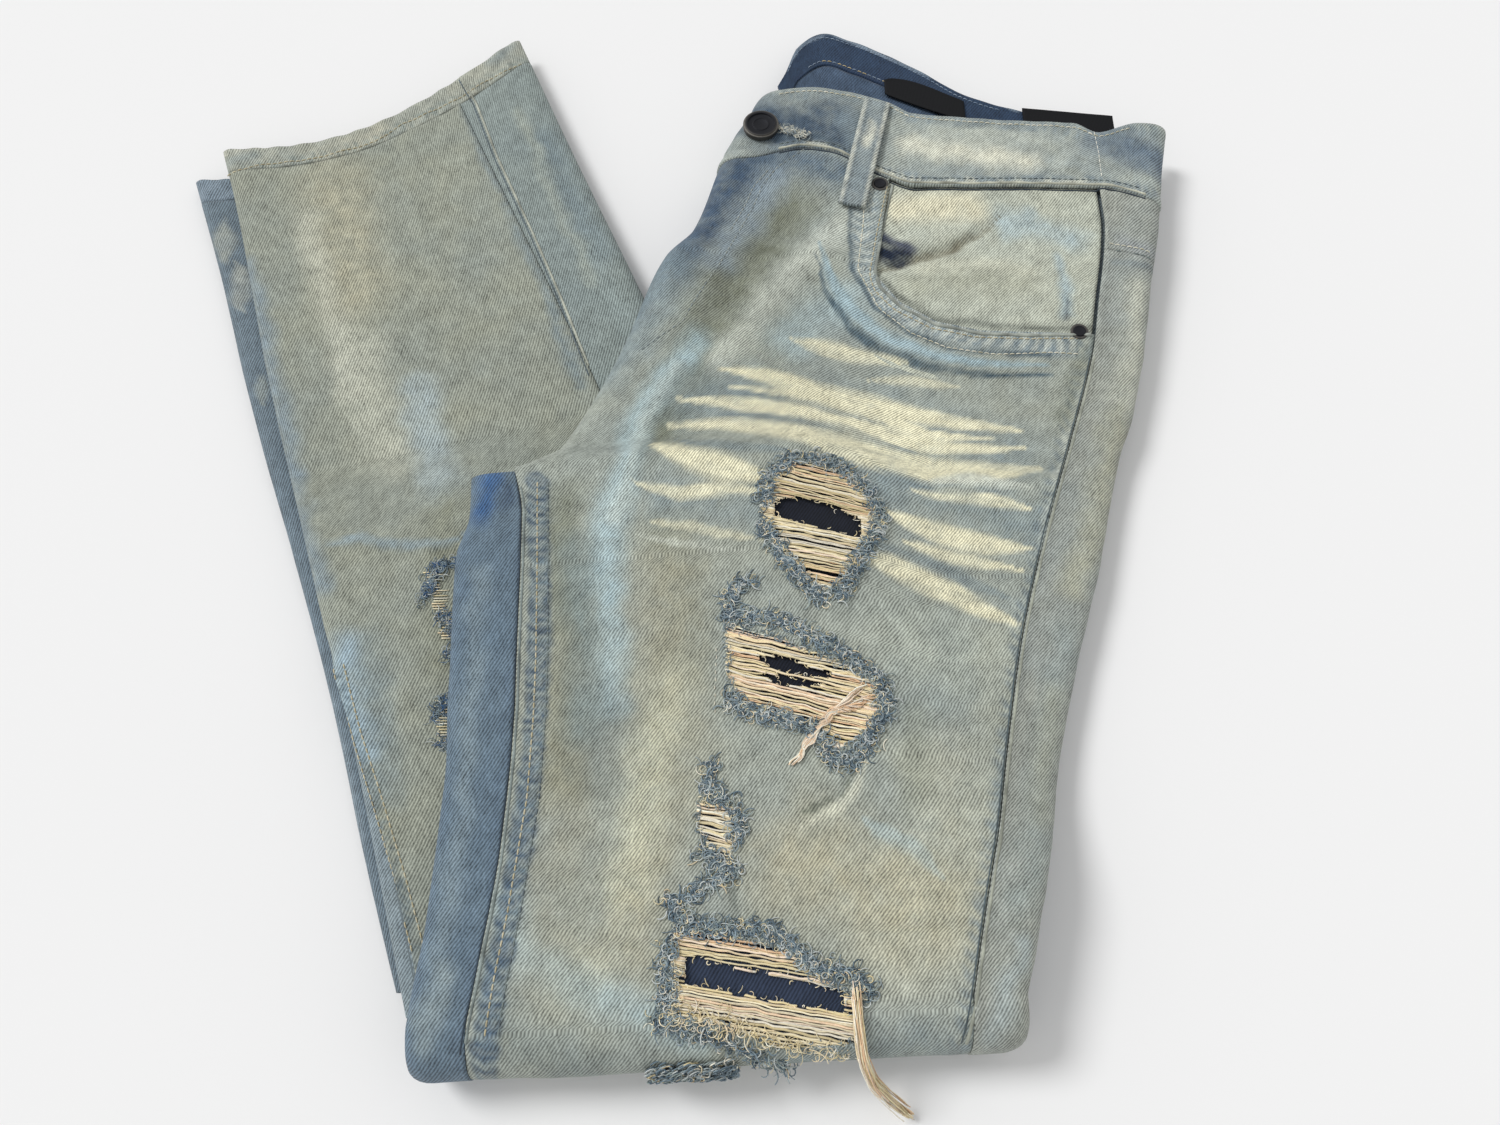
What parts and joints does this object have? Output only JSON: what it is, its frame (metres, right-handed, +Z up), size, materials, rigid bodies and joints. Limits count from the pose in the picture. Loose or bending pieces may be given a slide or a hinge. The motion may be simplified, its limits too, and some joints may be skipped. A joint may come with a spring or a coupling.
{
  "type": "folded ripped jeans",
  "caption": "Faded ripped jeans folded in half lengthwise and again under at the knees, lying flat: frayed rips over dark backing, buttoned waistband, pocket, bare labels.",
  "frame": {"origin": "middle of the footprint's box, on the surface that the folded jeans lie on", "axes": "+Z up from the surface; +Y from the knee fold towards the waist and hems; +X towards the outseam of the upper legs"},
  "size_m": [0.5452, 0.5804, 0.045],
  "materials": {
    "washed_denim": "washed cotton twill, olive-grey tint over faded blue, whiskered",
    "blue_denim": "washed cotton twill, faded blue",
    "inside_denim": "inside face of the twill, deep indigo",
    "patch_denim": "dark cotton backing under the rips",
    "cotton_thread": "frayed weft threads, cream",
    "black_tape": "woven tape, black, bare",
    "aged_metal": "dark antiqued, satin"
  },
  "bodies": {
    "root": {"left_front_panel": "washed_denim", "left_back_panel_inseam_side": "blue_denim", "left_back_yoke": "blue_denim", "left_back_panel_outseam_side": "blue_denim", "left_front_waistband": "washed_denim", "front_pocket_facing": "washed_denim", "rip_backing_thigh": "patch_denim", "rip_backing_knee": "patch_denim", "right_front_panel_lower": "washed_denim", "right_back_panel_lower": "blue_denim", "left_back_panel_lower": "blue_denim", "left_back_waistband": "inside_denim", "left_back_panel_inside": "inside_denim", "right_back_waistband": "inside_denim", "right_front_waistband": "washed_denim", "right_hem": "washed_denim", "left_hem": "blue_denim", "belt_loop": "washed_denim", "waist_button": "aged_metal", "pocket_rivet_upper": "aged_metal", "pocket_rivet_lower": "aged_metal", "size_label": "black_tape", "waist_label": "black_tape", "knee_fringe": "cotton_thread", "knee_tassel": "cotton_thread", "hidden_layers": "blue_denim"}
  },
  "joints": []
}
